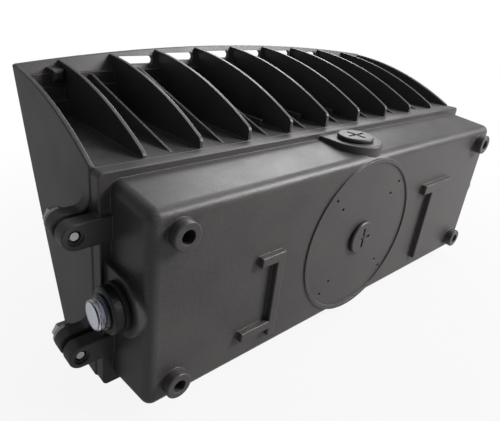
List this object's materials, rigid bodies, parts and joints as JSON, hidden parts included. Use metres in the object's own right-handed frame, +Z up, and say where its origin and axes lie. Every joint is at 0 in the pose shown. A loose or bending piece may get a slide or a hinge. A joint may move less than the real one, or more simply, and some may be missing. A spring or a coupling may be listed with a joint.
{
  "type": "wall pack light",
  "caption": "Wall-mounted outdoor luminaire: a drafted back box with wall bosses and a finned front housing that swings open on a side hinge, with a light sensor on one side.",
  "frame": {"origin": "centre of the four-boss hole pattern, on the plane of the boss faces, which is the wall", "axes": "+Z up, +Y into the wall, +X towards the side with the light sensor and the bolting lugs"},
  "size_m": [0.395, 0.1649, 0.1726],
  "materials": {
    "coated_casting": "fine-textured dark bronze powder coat",
    "coated_frame": "fine-textured dark bronze powder coat",
    "coated_plug": "satin dark bronze powder coat",
    "black_rubber": "matt silicone rubber",
    "clear_glass": "clear tempered glass",
    "stainless": "bright stainless steel",
    "white_reflector": "gloss white",
    "white_board": "white solder mask",
    "led_yellow": "phosphor under a clear dome",
    "driver_case": "grey moulded case",
    "lead_white": "white insulation",
    "lead_black": "black insulation",
    "lead_red": "red insulation",
    "nut_orange": "orange moulding",
    "connector_nylon": "natural nylon",
    "surge_case": "black potted case",
    "green_screw": "green plated",
    "black_plastic": "black moulded plastic",
    "clear_plastic": "clear polycarbonate",
    "sensor_face": "pale sensor face"
  },
  "bodies": {
    "box": {"back_box": "coated_casting", "box_gasket": "black_rubber", "photocell_leads": "lead_red", "supply_leads": "lead_black", "wire_nuts": "nut_orange", "connector_box_half": "connector_nylon", "connector_screws": "stainless", "surge_protector": "surge_case", "surge_screws": "stainless", "ground_screw": "green_screw", "photocell_body": "black_plastic", "photocell_seal": "black_rubber", "photocell_nut": "black_plastic", "photocell_lens": "clear_plastic", "photocell_sensor": "sensor_face", "top_plug": "coated_plug", "rear_plug": "coated_plug", "side_plug": "coated_plug", "plug_seals": "black_rubber", "hinge_pins": "stainless", "pin_clips": "stainless"},
    "housing": {"front_housing": "coated_casting", "lens_frame": "coated_frame", "lens_glass": "clear_glass", "lens_gasket": "black_rubber", "lens_frame_screws": "stainless", "reflector": "white_reflector", "led_board": "white_board", "led_board_screws": "stainless", "led_chips": "led_yellow", "led_driver": "driver_case", "driver_screws": "stainless", "led_leads": "lead_white", "driver_leads": "lead_black", "lead_grommet": "black_rubber", "connector_housing_half": "connector_nylon"},
    "upper_washer_body": {"upper_washer": "stainless"},
    "upper_bolt_body": {"upper_bolt": "stainless"},
    "lower_washer_body": {"lower_washer": "stainless"},
    "lower_bolt_body": {"lower_bolt": "stainless"}
  },
  "joints": [
    {"name": "housing_swing", "type": "hinge", "parent": "box", "child": "housing", "pos_m": [-0.189, -0.04975, 0], "axis": [0, 0, -1], "range_deg": [0, 115]},
    {"name": "upper_bolt_turn", "type": "hinge", "parent": "housing", "child": "upper_washer_body", "pos_m": [0.1928, -0.0617, 0.0367], "axis": [0, -1, 0], "range_deg": [0, 2520]},
    {"name": "upper_bolt_travel", "type": "slide", "parent": "upper_washer_body", "child": "upper_bolt_body", "axis": [0, -1, 0], "range_m": [0, 0.00701]},
    {"name": "lower_bolt_turn", "type": "hinge", "parent": "housing", "child": "lower_washer_body", "pos_m": [0.1928, -0.0617, -0.0367], "axis": [0, -1, 0], "range_deg": [0, 2520]},
    {"name": "lower_bolt_travel", "type": "slide", "parent": "lower_washer_body", "child": "lower_bolt_body", "axis": [0, -1, 0], "range_m": [0, 0.00701]}
  ],
  "couplings": [
    {"joint": "upper_bolt_travel", "follows": "upper_bolt_turn", "m_per_rad": 0.00015915},
    {"joint": "lower_bolt_travel", "follows": "lower_bolt_turn", "m_per_rad": 0.00015915}
  ]
}
